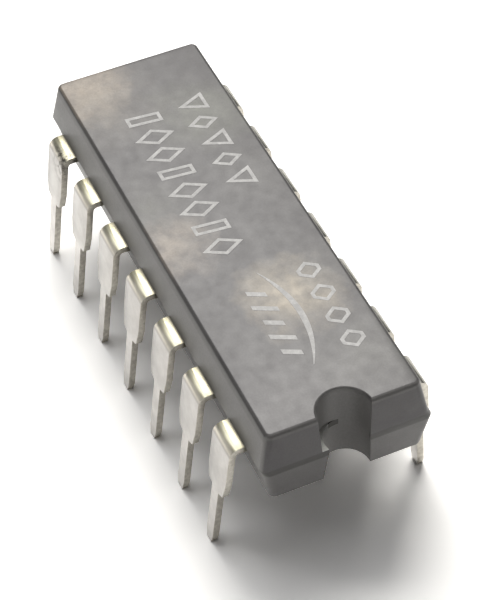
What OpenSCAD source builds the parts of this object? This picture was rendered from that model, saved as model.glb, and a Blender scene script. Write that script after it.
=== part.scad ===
// Fourteen-lead dual in-line package: a moulded body round a stamped lead frame, with the chip
// and its bond wires sealed inside. Millimetres. +X runs along the body away from the notch,
// +Z is up, and the lead tips stand on z = 0 with the footprint centred on the origin.

/* [Moulded body] */
// Length of the body along its parting line
body_len = 19.15; // [18.7:0.05:19.6]
// Width of the body at its parting line
body_w = 6.2; // [6.1:0.05:6.6]
// Height of the moulding above the middle of the lead frame
upper_h = 1.65; // [1.5:0.05:1.9]
// Depth of the moulding below the middle of the lead frame
lower_h = 1.65; // [1.5:0.05:1.9]
// Draft of the long sides in degrees
side_draft = 10; // [5:0.5:12]
// Draft of the two ends in degrees
end_draft = 6; // [4:0.5:10]
// Sideways slip of the lower half of the moulding against the upper half
half_slip = 0.12; // [0:0.02:0.2]
// Radius of the upright corners
corner_r = 0.25; // [0.2:0.05:0.4]
// Radius of the edges round the top and bottom faces
edge_r = 0.15; // [0.08:0.01:0.18]

/* [Notch and underside] */
// Radius of the half-round notch at the parting line, in the upper half
notch_r = 0.9; // [0.8:0.05:1.1]
// Radius of the notch at the parting line, in the lower half
notch_low_r = 0.8; // [0.7:0.05:1]
// Draft of the notch wall in degrees
notch_draft = 3; // [0:0.5:5]
// Radius of the notch's rims
rim_r = 0.06; // [0.04:0.01:0.12]
// Diameter of the two ejector marks in the underside
eject_d = 1.5; // [1:0.1:2]
// Depth of the ejector marks
eject_deep = 0.06; // [0.03:0.01:0.1]
// Distance of each ejector mark from the middle of the body
eject_x = 6.2; // [5:0.1:7]

/* [Leads] */
// Distance between neighbouring leads
pitch = 2.54; // [2.5:0.01:2.58]
// Thickness of the lead frame sheet
lead_t = 0.25; // [0.2:0.01:0.3]
// Width of a lead across its shoulder
shoulder_w = 1.36; // [1.2:0.02:1.6]
// Width of the wide leg just above its ledge
ledge_w = 1.12; // [0.9:0.02:1.2]
// Width of the blade below the ledge
blade_w = 0.5; // [0.4:0.01:0.56]
// Width of the blade's cut end
tip_w = 0.32; // [0.2:0.01:0.4]
// Height over which the blade narrows to its end
tip_taper = 0.35; // [0.2:0.05:0.6]
// Height from the lead tips to the ledge that rests on a board
blade_h = 2.66; // [2.4:0.02:3.4]
// Height of the ledge's sloping underside
ledge_slope = 0.1; // [0.05:0.01:0.2]
// Height from the ledge to the underside of the body
stand_off = 0.73; // [0.4:0.01:1]
// Height above the ledge at which the leg starts to narrow
leg_taper = 0.75; // [0.5:0.05:1]
// Flat length of the shoulder outside the body
shoulder_flat = 0.2; // [0.1:0.01:0.4]
// Inner radius of the shoulder's bend
bend_r = 0.15; // [0.1:0.01:0.25]
// Outward splay in degrees of the row that ends at lead 14
splay_far_row = 7; // [0:0.5:9]
// Outward splay in degrees of the row that starts at lead 1
splay_near_row = 3; // [0:0.5:9]

/* [Lead frame inside] */
// Width of a lead's root inside the body
root_w = 1; // [0.8:0.05:1.1]
// Length of full-width shoulder that the body holds
root_grip = 0.35; // [0.2:0.05:0.5]
// Diameter of the hole that locks a lead in the resin
lock_d = 0.5; // [0.3:0.05:0.6]
// Distance of the lock hole from the body's side
lock_y = 0.9; // [0.8:0.05:1]
// Width of the fingers that reach for the chip
finger_w = 0.35; // [0.25:0.01:0.36]
// Length of the pad under the chip
pad_len = 3.6; // [3.2:0.1:3.7]
// Width of the pad under the chip
pad_w = 2.4; // [2:0.1:2.5]
// Drop of the pad below the lead frame
pad_drop = 0.25; // [0.2:0.01:0.35]
// Width of the two bars that tie the pad to the frame
tie_w = 0.4; // [0.3:0.02:0.44]
// Length of the slope that carries a tie bar down to the pad
tie_slope = 0.35; // [0.3:0.05:0.6]

/* [Chip and wires] */
// Length of the chip
die_len = 1.8; // [1.7:0.05:2]
// Width of the chip
die_w = 1.5; // [1.45:0.05:1.7]
// Thickness of the chip
die_t = 0.28; // [0.2:0.01:0.35]
// Thickness of the adhesive under the chip
glue_t = 0.03; // [0.02:0.01:0.05]
// Reach of the adhesive past the chip's edges
glue_out = 0.1; // [0.05:0.01:0.15]
// Diameter of a bond wire
wire_d = 0.03; // [0.025:0.005:0.05]
// Rise of a bond wire above its ends
wire_rise = 0.28; // [0.2:0.01:0.4]
// Diameter of the ball that joins a wire to the chip
ball_d = 0.08; // [0.06:0.01:0.1]
// Height of that ball
ball_h = 0.02; // [0.01:0.01:0.03]

/* [Hidden] */
row_count = 7;
lead_count = 2 * row_count;
function two_digits(k) = k < 10 ? str("0", k) : str(k);
function lead_name(k) = str("lead_", two_digits(k));
function wire_name(k) = str("bond_wire_", two_digits(k));

// Heights
under_z = blade_h + stand_off;
frame_z = under_z + lower_h;
top_z = frame_z + upper_h;
frame_low = frame_z - lead_t / 2;
frame_top = frame_z + lead_t / 2;
pad_top = frame_top - pad_drop;
die_low = pad_top + glue_t;
die_top = die_low + die_t;

// The shoulder's bend, seen along the row, and the face of the leg below it
outer_r = bend_r + lead_t;
bend_y = body_w / 2 + shoulder_flat;
bend_z = frame_top - outer_r;
function face_y(splay, z) = bend_y + outer_r / cos(splay) + (bend_z - z) * tan(splay);
footprint_y = (face_y(splay_near_row, 0) - face_y(splay_far_row, 0)) / 2;

// Lead k counts from the notch along one row and back along the other
function row_place(k) = k <= row_count ? k : lead_count + 1 - k;
function lead_x(k) = (row_place(k) - (row_count + 1) / 2) * pitch;
function row_side(k) = k <= row_count ? -1 : 1;
function row_splay(k) = k <= row_count ? splay_near_row : splay_far_row;
function step_out(k) = abs(row_place(k) - (row_count + 1) / 2);
function end_side(k) = lead_x(k) < 0 ? -1 : 1;

// Where each finger turns and where it ends, by its distance in steps from the middle lead
finger_gap = 0.35;
tie_gap = 0.245;
finger_space = 0.18;
end_lane = tie_w / 2 + tie_gap + finger_w / 2;
neck_in = [1.1, 0.9, 1.2, 1.8];
finger_end = [
    [0, pad_w / 2 + finger_gap],
    [pad_len / 4, pad_w / 2 + finger_gap],
    [pad_len / 2 + finger_gap, end_lane + finger_w + finger_space],
    [pad_len / 2 + finger_gap, end_lane]
];
function finger_tip(k) = [end_side(k) * finger_end[step_out(k)].x, finger_end[step_out(k)].y];

// Where each wire lands on the chip, kept inside its edges
bond_inset = 0.15;
die_bond = [
    [0, die_w / 2 - bond_inset],
    [die_len / 4, die_w / 2 - bond_inset],
    [die_len / 2 - bond_inset, die_w / 4],
    [die_len / 2 - bond_inset, die_w / 12]
];
function chip_bond(k) = [end_side(k) * die_bond[step_out(k)].x, die_bond[step_out(k)].y];

// How far past a face a cut or a joint reaches
past = 1;
$fn = 48;

// How far two neighbouring bodies of the moulding share a layer, so that they join as one
seam_t = 0.02;

// Four upright corners of the moulding's outline at the parting line
module outline_corners(z) {
    for (sx = [-1, 1], sy = [-1, 1])
        translate([sx * (body_len / 2 - corner_r), sy * (body_w / 2 - corner_r), z])
            cylinder(r = corner_r, h = seam_t, $fn = 32);
}

// Four corners of a top or bottom face, drawn in by the draft and rounded along their edges
module face_corners(rise, z) {
    in_x = rise * tan(end_draft) + corner_r;
    in_y = rise * tan(side_draft) + corner_r;
    for (sx = [-1, 1], sy = [-1, 1])
        translate([sx * (body_len / 2 - in_x), sy * (body_w / 2 - in_y), z])
            rotate_extrude($fn = 32)
                intersection() {
                    translate([corner_r - edge_r, 0])
                        circle(r = edge_r, $fn = 24);
                    translate([0, -edge_r])
                        square([corner_r, 2 * edge_r]);
                }
}

// The two halves are drafted away from the lead frame. The lower one has slipped to -Y, and a
// land as thick as the lead frame leads from one outline to the other.
upper_rise = upper_h - lead_t / 2;
lower_rise = lower_h - lead_t / 2;
module slipped() {
    translate([0, -half_slip, 0])
        children();
}

module drafted_block() {
    hull() {
        outline_corners(frame_top - seam_t);
        face_corners(upper_rise, top_z - edge_r);
    }
    hull() {
        outline_corners(frame_top - seam_t);
        slipped()
            outline_corners(frame_low);
    }
    slipped()
        hull() {
            outline_corners(frame_low);
            face_corners(lower_rise, under_z + edge_r);
        }
}

// The notch widens away from the parting line. Its lower half is smaller and has slipped too,
// which leaves a narrow ledge at the top of the land.
notch_x = -(body_len / 2 - upper_rise * tan(end_draft));
module notch_cut() {
    up_r = notch_r + upper_rise * tan(notch_draft);
    low_r = notch_low_r + lower_rise * tan(notch_draft);
    translate([notch_x, 0, frame_top]) {
        cylinder(r1 = notch_r, r2 = up_r, h = upper_rise);
        translate([0, 0, upper_rise])
            rim_round(up_r);
    }
    slipped()
        translate([notch_x + notch_r - notch_low_r, 0, frame_low]) {
            cylinder(r = notch_low_r, h = lead_t + seam_t);
            translate([0, 0, -lower_rise])
                cylinder(r1 = low_r, r2 = notch_low_r, h = lower_rise);
            translate([0, 0, -lower_rise])
                mirror([0, 0, 1])
                    rim_round(low_r);
        }
}

module rim_round(hole_r) {
    rotate_extrude()
        difference() {
            translate([0, -rim_r])
                square([hole_r + rim_r, rim_r + past]);
            translate([hole_r + rim_r, -rim_r])
                circle(r = rim_r);
        }
}

module ejector_marks() {
    for (sx = [-1, 1])
        translate([sx * eject_x, -half_slip, under_z - past])
            cylinder(d = eject_d, h = past + eject_deep);
}

// A straight strip between two points of a plan, with square ends
module strip(from, to, w) {
    along = (to - from) / norm(to - from);
    across = [-along.y, along.x] * w / 2;
    polygon([from - across, to - across, to + across, from + across]);
}

// A lead's part inside the body, in plan: a root, and a finger that ends by the chip
module finger_plan(k) {
    side_y = body_w / 2;
    x = lead_x(k);
    neck = [x, side_y - neck_in[step_out(k)]];
    tip = finger_tip(k);
    difference() {
        union() {
            strip([x, side_y - root_grip / 2], neck, root_w);
            strip(neck, tip, finger_w);
            translate(neck)
                circle(d = root_w);
            translate(tip)
                circle(d = finger_w);
        }
        translate([x, side_y - lock_y])
            circle(d = lock_d);
    }
}

// Everything that lies under a sheet bent to a given radius, seen along the row: y across, z up
module under_bend(splay, r, margin) {
    root_y = body_w / 2 - root_grip - margin;
    translate([root_y, -margin])
        square([bend_y - root_y, bend_z + r + margin]);
    translate([bend_y, bend_z]) {
        circle(r = r);
        rotate(splay)
            translate([-outer_r, -frame_z - margin])
                square([outer_r + r, frame_z + margin]);
    }
}

// The bent sheet itself, from the end that the body grips to past the lead's tip
module sheet_profile(splay) {
    difference() {
        under_bend(splay, outer_r, 0);
        under_bend(splay, bend_r, past);
    }
}

// The stamped outline of the leg, seen from the side: x across, z up
module leg_outline() {
    half = [
        [shoulder_w / 2, frame_top + past],
        [shoulder_w / 2, blade_h + leg_taper],
        [ledge_w / 2, blade_h + ledge_slope],
        [blade_w / 2, blade_h],
        [blade_w / 2, tip_taper],
        [tip_w / 2, 0]
    ];
    polygon(concat(half, [for (i = [len(half) - 1:-1:0]) [-half[i].x, half[i].y]]));
}

module bent_leg(splay) {
    reach = face_y(splay, 0) + past;
    intersection() {
        rotate([90, 0, 90])
            linear_extrude(height = 2 * shoulder_w, center = true)
                sheet_profile(splay);
        rotate([90, 0, 0])
            mirror([0, 0, 1])
                linear_extrude(height = reach)
                    leg_outline();
    }
}

// A finished lead in the body's own frame, which is centred between the two rows' roots
module lead_shape(k) {
    mirror([0, row_side(k) < 0 ? 1 : 0, 0]) {
        translate([0, 0, frame_low])
            linear_extrude(height = lead_t)
                finger_plan(k);
        translate([lead_x(k), 0, 0])
            bent_leg(row_splay(k));
    }
}

// The pad and its tie bars are one stamping: bars at frame height, a slope, then the pad
module pad_shape() {
    flat_x = pad_len / 2 + tie_slope;
    intersection() {
        rotate([90, 0, 0])
            linear_extrude(height = tie_w, center = true)
                polygon(concat(
                    [for (s = [[-body_len / 2, 0], [-flat_x, 0], [-pad_len / 2, -pad_drop],
                               [pad_len / 2, -pad_drop], [flat_x, 0], [body_len / 2, 0]])
                        [s.x, frame_low + s.y]],
                    [for (s = [[body_len / 2, 0], [flat_x, 0], [pad_len / 2, -pad_drop],
                               [-pad_len / 2, -pad_drop], [-flat_x, 0], [-body_len / 2, 0]])
                        [s.x, frame_top + s.y]]
                ));
        difference() {
            translate([-body_len / 2, -body_w / 2, 0])
                cube([body_len, body_w, top_z]);
            notch_cut();
        }
    }
    translate([-pad_len / 2, -pad_w / 2, pad_top - lead_t])
        cube([pad_len, pad_w, lead_t]);
}

module glue_shape() {
    long = die_len + 2 * glue_out;
    wide = die_w + 2 * glue_out;
    translate([-long / 2, -wide / 2, pad_top])
        cube([long, wide, glue_t]);
}

module die_shape() {
    translate([-die_len / 2, -die_w / 2, die_low])
        cube([die_len, die_w, die_t]);
}

// One bond wire: a six-sided thread that leaves its ball upright, arches, and lands on a finger
wire_sides = 6;
wire_steps = 10;
module wire_shape(k) {
    start = [chip_bond(k).x, chip_bond(k).y, die_top + ball_h];
    finish = [finger_tip(k).x, finger_tip(k).y, frame_top];
    run = norm([finish.x - start.x, finish.y - start.y]);
    along = [finish.x - start.x, finish.y - start.y, 0] / run;
    across = [-along.y, along.x, 0];
    function middle(t) = start + along * run * (1 - cos(t)) / 2
        + [0, 0, (finish.z - start.z) * (1 - cos(t)) / 2 + wire_rise * sin(t)];
    function forward(t) = run * sin(t) / 2;
    function upward(t) = (finish.z - start.z) * sin(t) / 2 + wire_rise * cos(t);
    function second(t) = (along * -upward(t) + [0, 0, forward(t)]) / norm([forward(t), upward(t)]);
    function ring(t) = [for (i = [0:wire_sides - 1])
        let (a = 360 * i / wire_sides)
            middle(t) + (across * cos(a) + second(t) * sin(a)) * wire_d / 2];
    points = [for (j = [0:wire_steps]) each ring(180 * j / wire_steps)];
    last = wire_steps * wire_sides;
    sides = [for (j = [0:wire_steps - 1], i = [0:wire_sides - 1])
        let (a = j * wire_sides + i, b = j * wire_sides + (i + 1) % wire_sides)
            [a, a + wire_sides, b + wire_sides, b]];
    mirror([0, row_side(k) < 0 ? 1 : 0, 0]) {
        polyhedron(
            points = points,
            faces = concat(
                [[for (i = [0:wire_sides - 1]) i]],
                sides,
                [[for (i = [wire_sides - 1:-1:0]) last + i]]
            )
        );
        translate([start.x, start.y, die_top])
            cylinder(d = ball_d, h = ball_h, $fn = 8);
    }
}

// Everything below is drawn in the body's frame and moved so that the footprint is centred
module seated() {
    translate([0, footprint_y, 0])
        children();
}

module body() {
    color([0.33, 0.33, 0.34])
        seated()
            difference() {
                drafted_block();
                notch_cut();
                ejector_marks();
                pad_shape();
                glue_shape();
                die_shape();
                for (k = [1:lead_count])
                    lead_shape(k);
                for (k = [1:lead_count])
                    wire_shape(k);
            }
}

module lead(k) {
    color([0.85, 0.84, 0.8])
        seated()
            lead_shape(k);
}

module die_pad() {
    color([0.72, 0.45, 0.3])
        seated()
            pad_shape();
}

module die_attach() {
    color([0.75, 0.75, 0.72])
        seated()
            glue_shape();
}

module die() {
    color([0.3, 0.32, 0.4])
        seated()
            die_shape();
}

module bond_wire(k) {
    color([0.95, 0.78, 0.35])
        seated()
            wire_shape(k);
}

body();
die_pad();
die_attach();
die();
for (k = [1:lead_count])
    lead(k);
for (k = [1:lead_count])
    bond_wire(k);
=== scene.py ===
"""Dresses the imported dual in-line chip: materials, printed marks, floor, light and camera."""

import math

import bmesh
import bpy
from mathutils import Matrix, Vector


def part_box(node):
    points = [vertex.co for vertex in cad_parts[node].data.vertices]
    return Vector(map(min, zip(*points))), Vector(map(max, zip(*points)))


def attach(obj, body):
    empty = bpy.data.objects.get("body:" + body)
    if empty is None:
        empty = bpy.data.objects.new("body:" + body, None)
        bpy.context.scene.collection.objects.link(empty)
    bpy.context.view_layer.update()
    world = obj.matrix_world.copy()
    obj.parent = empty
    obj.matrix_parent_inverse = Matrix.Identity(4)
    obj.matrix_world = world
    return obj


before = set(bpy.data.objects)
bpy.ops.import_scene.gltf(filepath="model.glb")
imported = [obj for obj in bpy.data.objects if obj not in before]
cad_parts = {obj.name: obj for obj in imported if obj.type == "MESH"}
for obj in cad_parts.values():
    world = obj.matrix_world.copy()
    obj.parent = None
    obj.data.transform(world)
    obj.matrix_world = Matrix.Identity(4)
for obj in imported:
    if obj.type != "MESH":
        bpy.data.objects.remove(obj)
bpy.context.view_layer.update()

MM = 0.001
BODY_LOW, BODY_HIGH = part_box("body")
TOP_Z = BODY_HIGH.z
MID_Y = (BODY_LOW.y + BODY_HIGH.y) / 2
LEADS = [name for name in sorted(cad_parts) if name.startswith("lead_")]
WIRES = [name for name in sorted(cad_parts) if name.startswith("bond_wire_")]


# Camera
CAMERA_PLACE = Vector((-51.602, 21.219, 63.444)) * MM
CAMERA_FORWARD = Vector((0.62293, -0.26473, -0.73612))
CAMERA_ROLL = math.radians(1.70)
FOCAL_PIXELS = 2268.1
PHOTO_HEIGHT = 600
SENSOR = 36.0


def add_camera():
    data = bpy.data.cameras.new("camera")
    data.sensor_fit = "VERTICAL"
    data.sensor_height = SENSOR
    data.lens = FOCAL_PIXELS / PHOTO_HEIGHT * SENSOR
    data.clip_start = 0.001
    data.clip_end = 10
    camera = bpy.data.objects.new("camera", data)
    bpy.context.scene.collection.objects.link(camera)
    turn = CAMERA_FORWARD.to_track_quat("-Z", "Y").to_matrix().to_4x4()
    roll = Matrix.Rotation(-CAMERA_ROLL, 4, "Z")
    camera.matrix_world = Matrix.Translation(CAMERA_PLACE) @ turn @ roll
    bpy.context.scene.camera = camera


# Small helpers for node materials
class Nodes:
    """Adds and joins nodes of one material."""

    def __init__(self, name):
        self.material = bpy.data.materials.new(name)
        self.material.use_nodes = True
        self.tree = self.material.node_tree
        self.shader = self.tree.nodes["Principled BSDF"]
        self.output = self.tree.nodes["Material Output"]

    def add(self, kind, **inputs):
        node = self.tree.nodes.new(kind)
        for key, value in inputs.items():
            self.put(node, key.replace("_", " "), value)
        return node

    def put(self, node, key, value):
        socket = node.inputs[int(key)] if key.isdigit() else node.inputs[key]
        if isinstance(value, bpy.types.NodeSocket):
            self.tree.links.new(value, socket)
        else:
            socket.default_value = value

    def place(self):
        """The shaded point in millimetres."""
        source = self.add("ShaderNodeNewGeometry")
        scaled = self.add("ShaderNodeVectorMath")
        scaled.operation = "SCALE"
        self.put(scaled, "0", source.outputs["Position"])
        scaled.inputs["Scale"].default_value = 1 / MM
        return scaled.outputs[0]

    def normal(self):
        return self.add("ShaderNodeNewGeometry").outputs["Normal"]

    def axes(self, vector):
        """The X, Y and Z parts of a vector."""
        split = self.add("ShaderNodeSeparateXYZ", Vector=vector)
        return [split.outputs[axis] for axis in "XYZ"]

    def distance(self, place, point):
        """How far a place lies from a fixed point."""
        node = self.add("ShaderNodeVectorMath")
        node.operation = "DISTANCE"
        self.put(node, "0", place)
        self.put(node, "1", point)
        return node.outputs["Value"]

    def noise(self, place, scale, detail=3, rough=0.5, distortion=0):
        node = self.add(
            "ShaderNodeTexNoise",
            Vector=place,
            Scale=scale,
            Detail=detail,
            Roughness=rough,
            Distortion=distortion,
        )
        return node.outputs["Fac"]

    def spread(self, value, low, high, to_low=0.0, to_high=1.0):
        node = self.add("ShaderNodeMapRange", Value=value)
        node.inputs["From Min"].default_value = low
        node.inputs["From Max"].default_value = high
        node.inputs["To Min"].default_value = to_low
        node.inputs["To Max"].default_value = to_high
        return node.outputs["Result"]

    def mix(self, factor, first, second, blend="MIX"):
        node = self.tree.nodes.new("ShaderNodeMix")
        node.data_type = "RGBA"
        node.blend_type = blend
        for index, value in ((0, factor), (6, first), (7, second)):
            self.put(node, str(index), value)
        return node.outputs[2]

    def math(self, operation, first, second=0.0):
        node = self.tree.nodes.new("ShaderNodeMath")
        node.operation = operation
        self.put(node, "0", first)
        self.put(node, "1", second)
        return node.outputs[0]

    def product(self, first, *others):
        """Several masks multiplied together."""
        for other in others:
            first = self.math("MULTIPLY", first, other)
        return first

    def bump(self, height, strength, distance):
        node = self.add("ShaderNodeBump", Height=height, Strength=strength, Distance=distance)
        return node.outputs["Normal"]


def rgb(red, green, blue):
    return (red, green, blue, 1.0)


# Where painted sheen lies on the top face, as soft tinted patches of painted reflection: place in
# millimetres, reach, strength and tint
PAINTED_SHEEN = [
    ((8.6, 1.9), 2.1, 1.00, (0.43, 0.355, 0.285)),
    ((7.6, 1.6), 2.8, 0.45, (0.26, 0.235, 0.20)),
    ((5.6, -1.6), 2.2, 0.50, (0.25, 0.26, 0.21)),
    ((1.9, 2.1), 1.7, 0.35, (0.24, 0.24, 0.21)),
    ((-0.3, 2.1), 1.8, 0.95, (0.36, 0.31, 0.265)),
    ((-4.0, -0.7), 2.1, 1.00, (0.46, 0.40, 0.32)),
    ((-3.4, -2.3), 1.7, 0.30, (0.24, 0.23, 0.21)),
    ((2.2, -2.2), 2.0, 0.30, (0.23, 0.225, 0.21)),
    ((-7.4, -1.8), 2.6, 0.50, (0.24, 0.235, 0.22)),
    ((-8.2, 0.9), 2.8, 0.40, (0.22, 0.21, 0.21)),
]
# How far the noise moves the outlines of the painted sheen
WANDER = 2.2

# Places on the body in millimetres: the top face, the seam band, the notch's axis and reach, the
# leads, the cut ends of the tie bars, and the tarnished shoulder
TOP = TOP_Z / MM
SEAM_LOW, SEAM_HIGH = 4.90, 5.18
NOTCH_X, NOTCH_REACH = -9.415, 1.08
PITCH = 2.54
ROW_MID, ROOT_Y = -0.169, 3.1
TIE_CUT = 8.3
TARNISH = (7.1, 3.35, 5.0)


# Masks and layers of the resin
def outside_notch(m, place, along):
    """0 inside the notch and 1 outside it."""
    flat = m.add("ShaderNodeVectorMath")
    flat.operation = "MULTIPLY"
    m.put(flat, "0", place)
    m.put(flat, "1", (1, 1, 0))
    from_axis = m.distance(flat.outputs[0], (NOTCH_X, ROW_MID, 0))
    outside = m.spread(from_axis, NOTCH_REACH, NOTCH_REACH + 0.03)
    return m.math("MAXIMUM", outside, m.spread(along, NOTCH_X + 0.02, NOTCH_X))


def add_haze(m, place, on_top, colour):
    """Soft tinted patches of painted sheen on the top face, with wandering outlines."""
    wander = m.add("ShaderNodeTexNoise", Vector=place, Scale=0.9, Detail=4, Roughness=0.6)
    shifted = m.add("ShaderNodeVectorMath")
    shifted.operation = "MULTIPLY_ADD"
    m.put(shifted, "0", wander.outputs["Color"])
    m.put(shifted, "1", (WANDER, WANDER, 0))
    m.put(shifted, "2", place)
    mottle = m.product(m.spread(m.noise(place, 1.7, 5, 0.65), 0.3, 0.68, 0.45, 1.15), on_top)
    for (x, y), reach, strength, painted_tint in PAINTED_SHEEN:
        gap = m.distance(shifted.outputs[0], (x + WANDER / 2, y + WANDER / 2, TOP))
        near = m.spread(gap, reach, reach * 0.15)
        colour = m.mix(m.product(near, mottle, strength), colour, rgb(*painted_tint))
    return colour


def bloom(m, height, facing_y, clear):
    """Where painted light makes the resin paler: on the long sides, on the lower half and in the notch."""
    lower = m.spread(height, SEAM_LOW + 0.02, SEAM_LOW - 0.05, 0.0, 0.6)
    on_side = m.spread(m.math("ABSOLUTE", facing_y), 0.6, 0.85)
    in_notch = m.spread(clear, 1.0, 0.0)
    mask = m.math("MAXIMUM", m.math("MAXIMUM", lower, on_side), in_notch)
    return m.product(mask, m.spread(height, TOP - 0.05, TOP - 0.2, 0.0, 0.9))


def seam(m, along, across, height, clear):
    """Where the resin is painted dark: a band of painted shade between the halves, and a patch of painted
    shadow by each lead's root.
    """
    below = m.spread(height, SEAM_HIGH, SEAM_HIGH - 0.06)
    above = m.spread(height, SEAM_LOW - 0.08, SEAM_LOW)
    band = m.product(below, above, clear, 0.8)
    turns = m.math("COSINE", m.math("MULTIPLY", m.math("ADD", along, 0.3), 2 * math.pi / PITCH))
    sideways = m.math("ABSOLUTE", m.math("SUBTRACT", across, MID_Y / MM))
    by_lead = m.product(m.spread(turns, 0.1, 0.9), m.spread(sideways, 2.6, 2.75))
    low = m.product(m.spread(height, SEAM_HIGH + 0.45, SEAM_HIGH), above)
    return m.math("MAXIMUM", band, m.product(by_lead, low, 0.4))


def scuff(m, place, facing, on_top):
    """Where the resin is painted darker and duller: painted shade on the rounded top edges, and a darker
    strip that tapers along -Y.
    """
    along, across, height = place
    facing_x, _, facing_z = facing
    rising = m.product(m.spread(facing_z, 0.22, 0.35), m.spread(facing_z, 0.99, 0.95))
    high = m.spread(height, TOP - 0.39, TOP - 0.29)
    edge = m.product(rising, high, m.spread(facing_x, -0.5, -0.2))
    width = m.spread(along, -9.4, -4.0, 0.36, 0.08)
    from_edge = m.math("SUBTRACT", across, BODY_LOW.y / MM + 0.4)
    strip = m.spread(m.math("SUBTRACT", from_edge, width), 0.08, -0.16)
    return m.math("MAXIMUM", edge, m.product(strip, on_top, 0.6))


# Materials
def epoxy_material():
    """Moulding resin: dark grey, with grain, painted sheen on the top, painted light on the sides and lower
    half, painted shade along the seam and by the leads, a painted glint, painted shade on the top edges, a
    darker strip and painted light on the near rim.
    """
    m = Nodes("epoxy")
    place = m.place()
    along, across, height = m.axes(place)
    facing_x, facing_y, facing_z = m.axes(m.normal())
    on_top = m.spread(height, TOP - 0.07, TOP - 0.02)
    clear = outside_notch(m, place, along)

    cloud = m.spread(m.noise(place, 0.55, 4, 0.55, 0.6), 0.36, 0.66)
    colour = m.mix(cloud, rgb(0.086, 0.080, 0.084), rgb(0.114, 0.108, 0.110))
    # Painted sheen: tinted patches of painted reflection on the top face
    colour = add_haze(m, place, on_top, colour)
    # Painted light: the long sides, the lower half and the notch are made paler
    colour = m.mix(bloom(m, height, facing_y, clear), colour, rgb(0.22, 0.213, 0.207))
    # Painted shade along the seam band and painted shadow by each lead's root
    colour = m.mix(seam(m, along, across, height, clear), colour, rgb(0.045, 0.044, 0.038))
    # A painted glint: upward faces in a narrow height band at the ledge by the notch are made pale
    painted_ledge_glint = m.product(m.spread(facing_z, 0.9, 0.95), m.spread(height, TOP - 0.69, TOP - 0.79))
    colour = m.mix(painted_ledge_glint, colour, rgb(0.46, 0.46, 0.43))

    edge_shade_and_strip_mask = scuff(m, (along, across, height), (facing_x, facing_y, facing_z), on_top)
    # Painted shade on the rounded top edges, and a darker strip along -Y
    colour = m.mix(m.product(edge_shade_and_strip_mask, 0.5), colour, rgb(0.05, 0.049, 0.046))
    m.put(m.shader, "Specular IOR Level", m.spread(edge_shade_and_strip_mask, 0, 1, 0.5, 0.18))
    # Painted light: the rounded rim at the near end is made paler
    painted_near_rim_light = m.product(m.spread(facing_x, -0.2, -0.5), m.spread(height, TOP - 0.24, TOP - 0.14))
    colour = m.mix(m.product(painted_near_rim_light, 0.7), colour, rgb(0.19, 0.184, 0.178))
    speck = m.spread(m.noise(place, 14, 2, 0.6), 0.35, 0.7, 0.93, 1.07)
    m.put(m.shader, "Base Color", m.mix(1.0, colour, speck, "MULTIPLY"))
    m.put(m.shader, "Roughness", m.spread(m.noise(place, 2.2, 3), 0.3, 0.7, 0.38, 0.46))
    m.put(m.shader, "Normal", m.bump(m.noise(place, 22, 3, 0.6), 0.25, 0.004 * MM))
    m.shader.inputs["IOR"].default_value = 1.52
    return m.material


def lead_material():
    """Dull tin on stamped sheet: pale faces with painted shade and painted highlights where they bend,
    brown-grey sheared sides, a painted dark reflection of the body at the roots, one tarnished lead.
    """
    m = Nodes("tinned_lead")
    place = m.place()
    _, across, height = m.axes(place)
    sideways, _, level = m.axes(m.normal())
    face = m.mix(
        m.spread(m.noise(place, 1.8, 4, 0.6), 0.35, 0.65),
        rgb(0.54, 0.52, 0.495),
        rgb(0.66, 0.64, 0.61),
    )
    # The wide leg is a little darker than the blade. By which way each face points, the bend gets painted
    # shade, painted light and a painted cream highlight, and the flat shoulder a painted dark reflection
    face = m.mix(1.0, face, m.spread(height, 2.4, 3.2, 1.0, 0.80), "MULTIPLY")
    for low, high, painted_tint in (
        (0.16, 0.30, (0.38, 0.36, 0.335)),
        (0.40, 0.60, (0.72, 0.68, 0.58)),
        (0.76, 0.84, (0.76, 0.725, 0.56)),
        (0.93, 0.98, (0.40, 0.375, 0.27)),
    ):
        face = m.mix(m.spread(level, low, high), face, rgb(*painted_tint))
    # The shoulders of leads 1 to 7 get painted shade at the bend and a painted highlight on the flat
    first_row_painted_light = m.product(m.spread(across, 0.0, -1.0), m.spread(level, 0.3, 0.5))
    shoulder = m.mix(m.spread(level, 0.88, 0.96), rgb(0.40, 0.39, 0.35), rgb(0.98, 0.96, 0.88))
    face = m.mix(first_row_painted_light, face, shoulder)
    side = m.mix(
        m.spread(m.noise(place, 6, 4, 0.6), 0.35, 0.65),
        rgb(0.54, 0.51, 0.45),
        rgb(0.74, 0.71, 0.64),
    )
    sheared = m.spread(m.math("ABSOLUTE", sideways), 0.75, 0.95)
    colour = m.mix(sheared, face, side)
    blot = m.spread(m.distance(place, TARNISH), 1.1, 0.3)
    patchy = m.spread(m.noise(place, 3.2, 4, 0.65), 0.42, 0.56)
    colour = m.mix(m.product(blot, patchy), colour, rgb(0.13, 0.12, 0.105))
    # A painted dark reflection of the body on each lead next to the resin
    out = m.math("ABSOLUTE", m.math("SUBTRACT", across, ROW_MID))
    root = m.spread(out, ROOT_Y + 0.02, ROOT_Y + 0.11, 1.0, 0.0)
    colour = m.mix(root, colour, rgb(0.22, 0.205, 0.165))
    m.put(m.shader, "Base Color", colour)
    m.shader.inputs["Metallic"].default_value = 0.9
    rough = m.math("MAXIMUM", m.spread(sheared, 0, 1, 0.3, 0.5), m.product(root, 0.6))
    m.put(m.shader, "Roughness", rough)
    m.put(m.shader, "Normal", m.bump(m.noise(place, 7, 3, 0.6), 0.25, 0.01 * MM))
    return m.material


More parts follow.
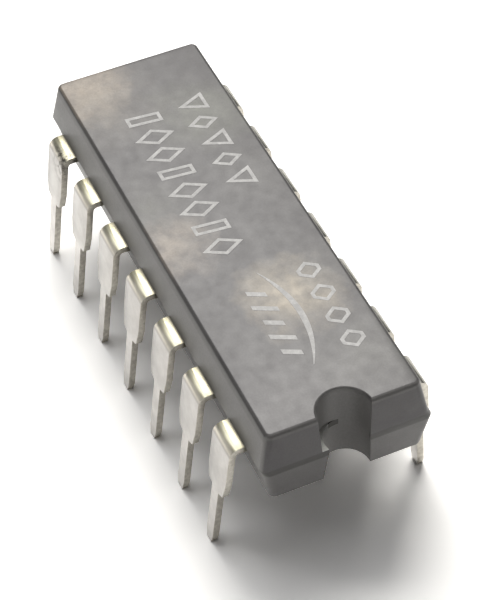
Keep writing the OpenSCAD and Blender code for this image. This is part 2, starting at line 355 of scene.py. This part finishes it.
def ink_material():
    """Pale ink, worn thin so that the resin shows through it."""
    m = Nodes("marking")
    place = m.place()
    worn = m.spread(m.noise(place, 5, 5, 0.7), 0.30, 0.62, 0.08, 0.45)
    m.put(m.shader, "Base Color", m.mix(worn, rgb(0.62, 0.61, 0.60), rgb(0.09, 0.087, 0.09)))
    m.shader.inputs["Roughness"].default_value = 0.5
    m.put(m.shader, "Normal", m.bump(m.noise(place, 22, 3), 0.2, 0.003 * MM))
    return m.material


def plain_metal(name, first, second, rough):
    m = Nodes(name)
    place = m.place()
    m.put(m.shader, "Base Color", m.mix(m.spread(m.noise(place, 5, 3), 0.35, 0.65), first, second))
    m.shader.inputs["Metallic"].default_value = 1.0
    m.put(m.shader, "Roughness", m.spread(m.noise(place, 9, 3), 0.3, 0.7, rough, rough + 0.12))
    return m.material


def frame_material():
    """Bare nickel-iron sheet, dark where its tie bars were cut at the two ends."""
    m = Nodes("frame_metal")
    place = m.place()
    bare = m.mix(m.spread(m.noise(place, 5, 3), 0.35, 0.65), rgb(0.38, 0.36, 0.33), rgb(0.46, 0.44, 0.41))
    along = m.axes(place)[0]
    cut = m.spread(m.math("ABSOLUTE", along), TIE_CUT, TIE_CUT + 0.1)
    m.put(m.shader, "Base Color", m.mix(cut, bare, rgb(0.06, 0.057, 0.052)))
    m.put(m.shader, "Metallic", m.spread(cut, 0, 1, 1, 0.4))
    m.shader.inputs["Roughness"].default_value = 0.45
    return m.material


def dull_material(name, first, second, rough):
    m = Nodes(name)
    place = m.place()
    m.put(m.shader, "Base Color", m.mix(m.spread(m.noise(place, 6, 4), 0.35, 0.65), first, second))
    m.put(m.shader, "Roughness", m.spread(m.noise(place, 9, 3), 0.3, 0.7, rough, rough + 0.1))
    m.put(m.shader, "Normal", m.bump(m.noise(place, 20, 3), 0.2, 0.003 * MM))
    return m.material


def dress(name, material):
    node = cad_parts[name]
    node.data.materials.clear()
    node.data.materials.append(material)
    for polygon in node.data.polygons:
        polygon.use_smooth = True


# Edges: weld the imported mesh, soften its corners, and shade smooth below a set angle
WELD_GAP = 0.0005 * MM
LEAD_ROUND = 0.035 * MM
ROUND_ABOVE = math.radians(35)
SMOOTH_BELOW = math.radians(32)


def angle_shading():
    group = bpy.data.node_groups.new("angle_shading", "GeometryNodeTree")
    group.interface.new_socket("Geometry", in_out="INPUT", socket_type="NodeSocketGeometry")
    group.interface.new_socket("Geometry", in_out="OUTPUT", socket_type="NodeSocketGeometry")
    start = group.nodes.new("NodeGroupInput")
    end = group.nodes.new("NodeGroupOutput")
    angle = group.nodes.new("GeometryNodeInputMeshEdgeAngle")
    compare = group.nodes.new("FunctionNodeCompare")
    compare.operation = "LESS_THAN"
    compare.inputs[1].default_value = SMOOTH_BELOW
    faces = group.nodes.new("GeometryNodeSetShadeSmooth")
    edges = group.nodes.new("GeometryNodeSetShadeSmooth")
    edges.domain = "EDGE"
    link = group.links.new
    link(start.outputs[0], faces.inputs["Geometry"])
    link(faces.outputs[0], edges.inputs["Geometry"])
    link(angle.outputs["Unsigned Angle"], compare.inputs[0])
    link(compare.outputs[0], edges.inputs["Shade Smooth"])
    link(edges.outputs[0], end.inputs[0])
    return group


def soften(names, width, shading):
    for name in names:
        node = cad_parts[name]
        weld = node.modifiers.new("weld", "WELD")
        weld.merge_threshold = WELD_GAP
        if width:
            bevel = node.modifiers.new("bevel", "BEVEL")
            bevel.width = width
            bevel.segments = 2
            bevel.limit_method = "ANGLE"
            bevel.angle_limit = ROUND_ABOVE
        smooth = node.modifiers.new("shading", "NODES")
        smooth.node_group = shading


# Printed marks: plain lozenges, boxes, triangles, hexagons, bars and a crescent of thin pale ink
INK = 0.006 * MM


class Print:
    """Collects flat shapes on the top face as one thin mesh."""

    def __init__(self):
        self.mesh = bmesh.new()

    def band(self, outer, inner=None):
        """A closed band or, with no inner outline, a plate: points in millimetres from the body's middle."""
        low, high = TOP_Z, TOP_Z + INK
        rings = []
        for outline in (outer, inner) if inner else (outer,):
            for z in (low, high):
                rings.append([self.mesh.verts.new((x * MM, y * MM + MID_Y, z)) for x, y in outline])
        new = self.mesh.faces.new
        count = len(outer)
        for i in range(count):
            j = (i + 1) % count
            new((rings[0][i], rings[0][j], rings[1][j], rings[1][i]))
            if inner:
                new((rings[2][j], rings[2][i], rings[3][i], rings[3][j]))
                new((rings[1][i], rings[1][j], rings[3][j], rings[3][i]))
                new((rings[0][j], rings[0][i], rings[2][i], rings[2][j]))
        if not inner:
            new(rings[1])
            new(list(reversed(rings[0])))

    def outline(self, centre, corners, stroke):
        cx, cy = centre
        self.band(
            [(cx + x, cy + y) for x, y in corners],
            [(cx + x, cy + y) for x, y in inset(corners, stroke)],
        )

    def solid(self, centre, corners):
        cx, cy = centre
        self.band([(cx + x, cy + y) for x, y in corners])

    def finish(self, name, material):
        data = bpy.data.meshes.new(name)
        self.mesh.to_mesh(data)
        self.mesh.free()
        piece = bpy.data.objects.new(name, data)
        bpy.context.scene.collection.objects.link(piece)
        data.materials.append(material)
        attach(piece, "root")


def inset(corners, gap):
    """The corners of a convex outline, listed anticlockwise, moved in by a gap."""
    count = len(corners)
    moved = []
    for i in range(count):
        before = Vector(corners[i]) - Vector(corners[i - 1])
        after = Vector(corners[(i + 1) % count]) - Vector(corners[i])
        first = Vector((-before.y, before.x)).normalized()
        second = Vector((-after.y, after.x)).normalized()
        bisector = (first + second).normalized()
        moved.append(Vector(corners[i]) + bisector * gap / bisector.dot(first))
    return moved


def lozenge(length, width):
    return [(length / 2, 0), (0, width / 2), (-length / 2, 0), (0, -width / 2)]


def triangle(length, width):
    return [(length / 2, -width / 2), (0, width / 2), (-length / 2, -width / 2)]


def slanted_box(length, width, slant):
    half_l, half_w, lean = length / 2, width / 2, slant * width / 2
    return [
        (half_l - lean, -half_w),
        (half_l + lean, half_w),
        (lean - half_l, half_w),
        (-half_l - lean, -half_w),
    ]


def hexagon(length, width):
    half_l, half_w = length / 2, width / 2
    shoulder = half_l - half_w * 0.7
    return [
        (half_l, 0),
        (shoulder, half_w),
        (-shoulder, half_w),
        (-half_l, 0),
        (-shoulder, -half_w),
        (shoulder, -half_w),
    ]


def crescent(length, depth, thick, steps=14):
    """A closed curved sliver, thickest in the middle, listed anticlockwise."""
    lower, upper = [], []
    for i in range(steps + 1):
        t = i / steps * 2 - 1
        sag = (1 - t * t) * depth
        lower.append((t * length / 2, -sag - (1 - t * t) * thick))
        upper.append((t * length / 2, -sag + 0.02))
    return lower + upper[::-1]


def printed_marks(material):
    """A long row, a shorter row, five bars by a crescent, and a row of hexagons."""
    ink = Print()
    stroke = 0.13
    for i in range(8):
        centre = (-0.95 + i * 1.02, 0.66)
        if i % 3 == 1:
            ink.outline(centre, slanted_box(0.50, 1.30, 0.10), stroke)
        else:
            ink.outline(centre, lozenge(0.86, 1.55), stroke)
    for i in range(5):
        centre = (1.9 + i * 1.08, -1.25)
        if i % 2 == 0:
            ink.outline(centre, triangle(0.95, 1.1), stroke)
        else:
            ink.outline(centre, lozenge(0.75, 1.2), stroke)
    for i in range(5):
        ink.solid((-6.4 + i * 0.72, 0.55), slanted_box(0.22, 0.62 + 0.2 * (i % 2), 0.5))
    ink.solid((-4.9, 0.12), crescent(4.6, 0.50, 0.20))
    for i in range(4):
        ink.outline((-6.7 + i * 1.15, -1.55), hexagon(0.85, 0.85), stroke)
    ink.finish("marking", material)


# Floor, world and lamps
FLOOR_LIT = (0.85, 0.85, 0.845)
FLOOR_SEEN = (1.40, 1.39, 1.38)
WORLD_STRENGTH = 0.06
LAMP_DISTANCE = 0.5


def add_floor():
    """A pale floor, whiter to the camera and in reflections than to the light that it gives back."""
    size = 0.6
    data = bpy.data.meshes.new("floor")
    data.from_pydata(
        [(-size, -size, 0), (size, -size, 0), (size, size, 0), (-size, size, 0)], [], [(0, 1, 2, 3)]
    )
    floor = bpy.data.objects.new("floor", data)
    bpy.context.scene.collection.objects.link(floor)
    m = Nodes("floor")
    path = m.add("ShaderNodeLightPath").outputs
    seen = m.math("MAXIMUM", path["Is Camera Ray"], path["Is Glossy Ray"])
    seen = m.math("MAXIMUM", seen, path["Is Transmission Ray"])
    dull = m.add("ShaderNodeBsdfDiffuse", Color=m.mix(seen, rgb(*FLOOR_LIT), rgb(*FLOOR_SEEN)))
    m.tree.links.new(dull.outputs[0], m.output.inputs["Surface"])
    data.materials.append(m.material)


def add_world():
    world = bpy.data.worlds.new("world")
    world.use_nodes = True
    background = world.node_tree.nodes["Background"]
    background.inputs["Color"].default_value = rgb(1.0, 1.0, 0.99)
    background.inputs["Strength"].default_value = WORLD_STRENGTH
    bpy.context.scene.world = world


def add_panel(name, direction, size, radiance, colour):
    """A square lamp that faces the chip, set by the radiance of its surface."""
    data = bpy.data.lights.new(name, "AREA")
    data.shape = "SQUARE"
    data.size = size
    data.energy = math.pi * size * size * radiance
    data.color = colour
    lamp = bpy.data.objects.new(name, data)
    bpy.context.scene.collection.objects.link(lamp)
    toward = Vector(direction).normalized()
    turn = (-toward).to_track_quat("-Z", "Y").to_matrix().to_4x4()
    lamp.matrix_world = Matrix.Translation(toward * LAMP_DISTANCE) @ turn


def add_lamps():
    for name, height, bearing, size, radiance, colour in (
        ("window", 54, -23, 0.28, 8.3, (1.0, 0.985, 0.945)),
        ("sky", 58, 25, 0.35, 1.45, (1, 1, 1)),
        ("zenith", 80, 0, 0.35, 0.90, (1, 1, 1)),
        ("side", 50, -80, 0.35, 0.35, (1, 1, 1)),
        ("low_card", 18, 60, 0.35, 0.45, (1, 1, 1)),
    ):
        up, round_z = math.radians(height), math.radians(bearing)
        direction = (
            math.cos(up) * math.cos(round_z),
            math.cos(up) * math.sin(round_z),
            math.sin(up),
        )
        add_panel(name, direction, size, radiance, colour)


epoxy = epoxy_material()
tinned = lead_material()
sheet = frame_material()
gold = plain_metal("gold_wire", rgb(0.85, 0.60, 0.20), rgb(0.95, 0.72, 0.30), 0.22)
silver = dull_material("silver_adhesive", rgb(0.50, 0.50, 0.48), rgb(0.64, 0.64, 0.62), 0.5)
silicon = dull_material("silicon", rgb(0.10, 0.11, 0.16), rgb(0.18, 0.19, 0.25), 0.15)
ink_finish = ink_material()

dress("body", epoxy)
dress("die_pad", sheet)
dress("die_attach", silver)
dress("die", silicon)
for lead in LEADS:
    dress(lead, tinned)
for wire in WIRES:
    dress(wire, gold)

shade = angle_shading()
soften(["body"], 0, shade)
soften(LEADS, LEAD_ROUND, shade)

printed_marks(ink_finish)
add_floor()
add_world()
add_lamps()
add_camera()

scene = bpy.context.scene
scene.view_settings.view_transform = "Standard"
